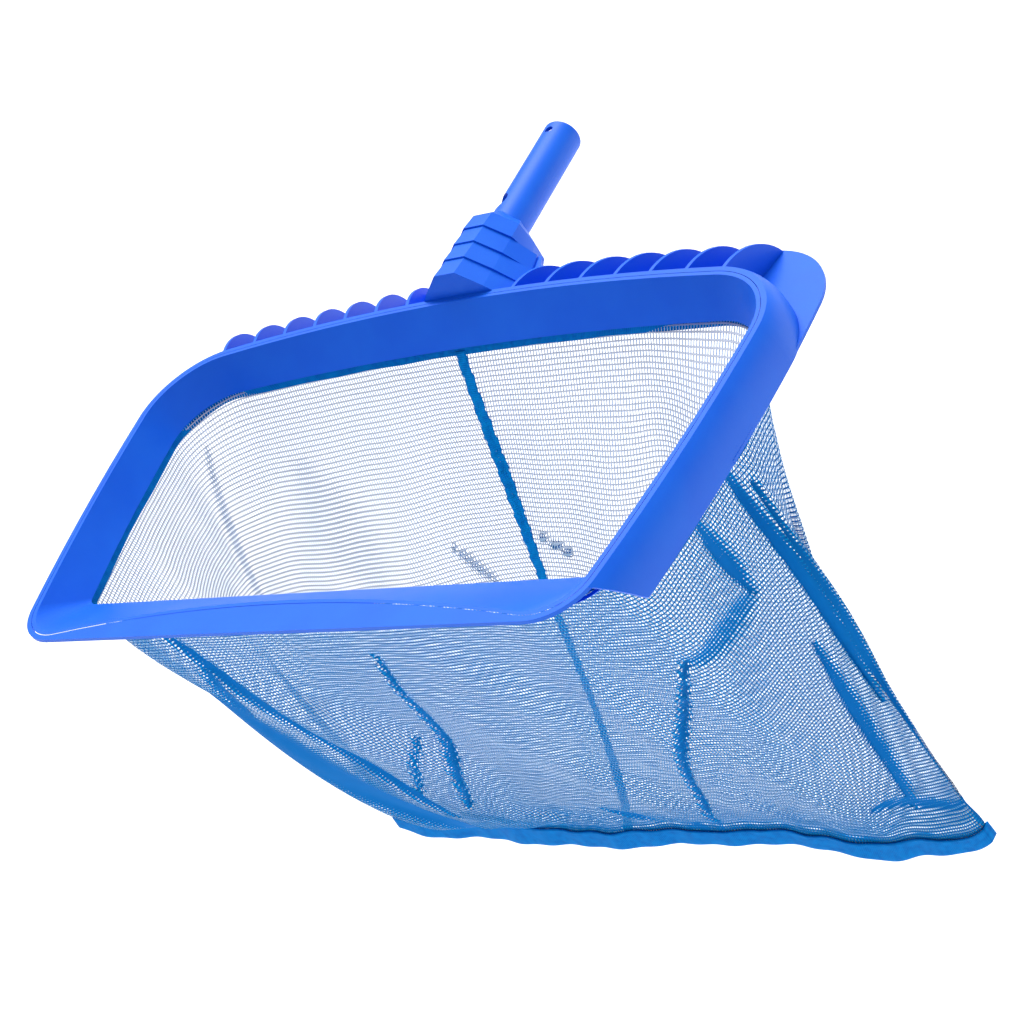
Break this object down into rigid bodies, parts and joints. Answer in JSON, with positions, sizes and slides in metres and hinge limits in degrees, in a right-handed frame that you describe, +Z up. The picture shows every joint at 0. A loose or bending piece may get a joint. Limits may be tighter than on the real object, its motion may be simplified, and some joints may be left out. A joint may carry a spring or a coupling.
{
  "type": "leaf skimmer net",
  "caption": "Deep-bag pool leaf skimmer: moulded scoop frame with a finned rear flange, a tubular pole socket and a hanging mesh bag closed by a straight bottom seam.",
  "frame": {"origin": "on the axis of the socket tube, at its open end", "axes": "+Y along the tube's axis, out of its open end towards the pole; +X to the right of the scoop as seen from the pole looking down on the open mouth with the lip away; +Z up, out of the bag's mouth"},
  "size_m": [0.534, 0.476, 0.444],
  "materials": {
    "blue_plastic": "satin moulded",
    "screw_steel": "plain",
    "bead_plastic": "plain",
    "net_mesh": "knitted mesh",
    "seam_tape": "woven tape"
  },
  "bodies": {
    "root": {"outer_frame": "blue_plastic", "inner_ring": "blue_plastic", "handle_socket": "blue_plastic", "socket_screws": "screw_steel", "hem_bead": "bead_plastic", "net_front_panel": "net_mesh", "net_back_panel": "net_mesh", "net_left_gusset": "net_mesh", "net_right_gusset": "net_mesh", "hem_band": "seam_tape", "centre_seam_tape": "seam_tape", "bottom_seam_binding": "seam_tape"}
  },
  "joints": []
}
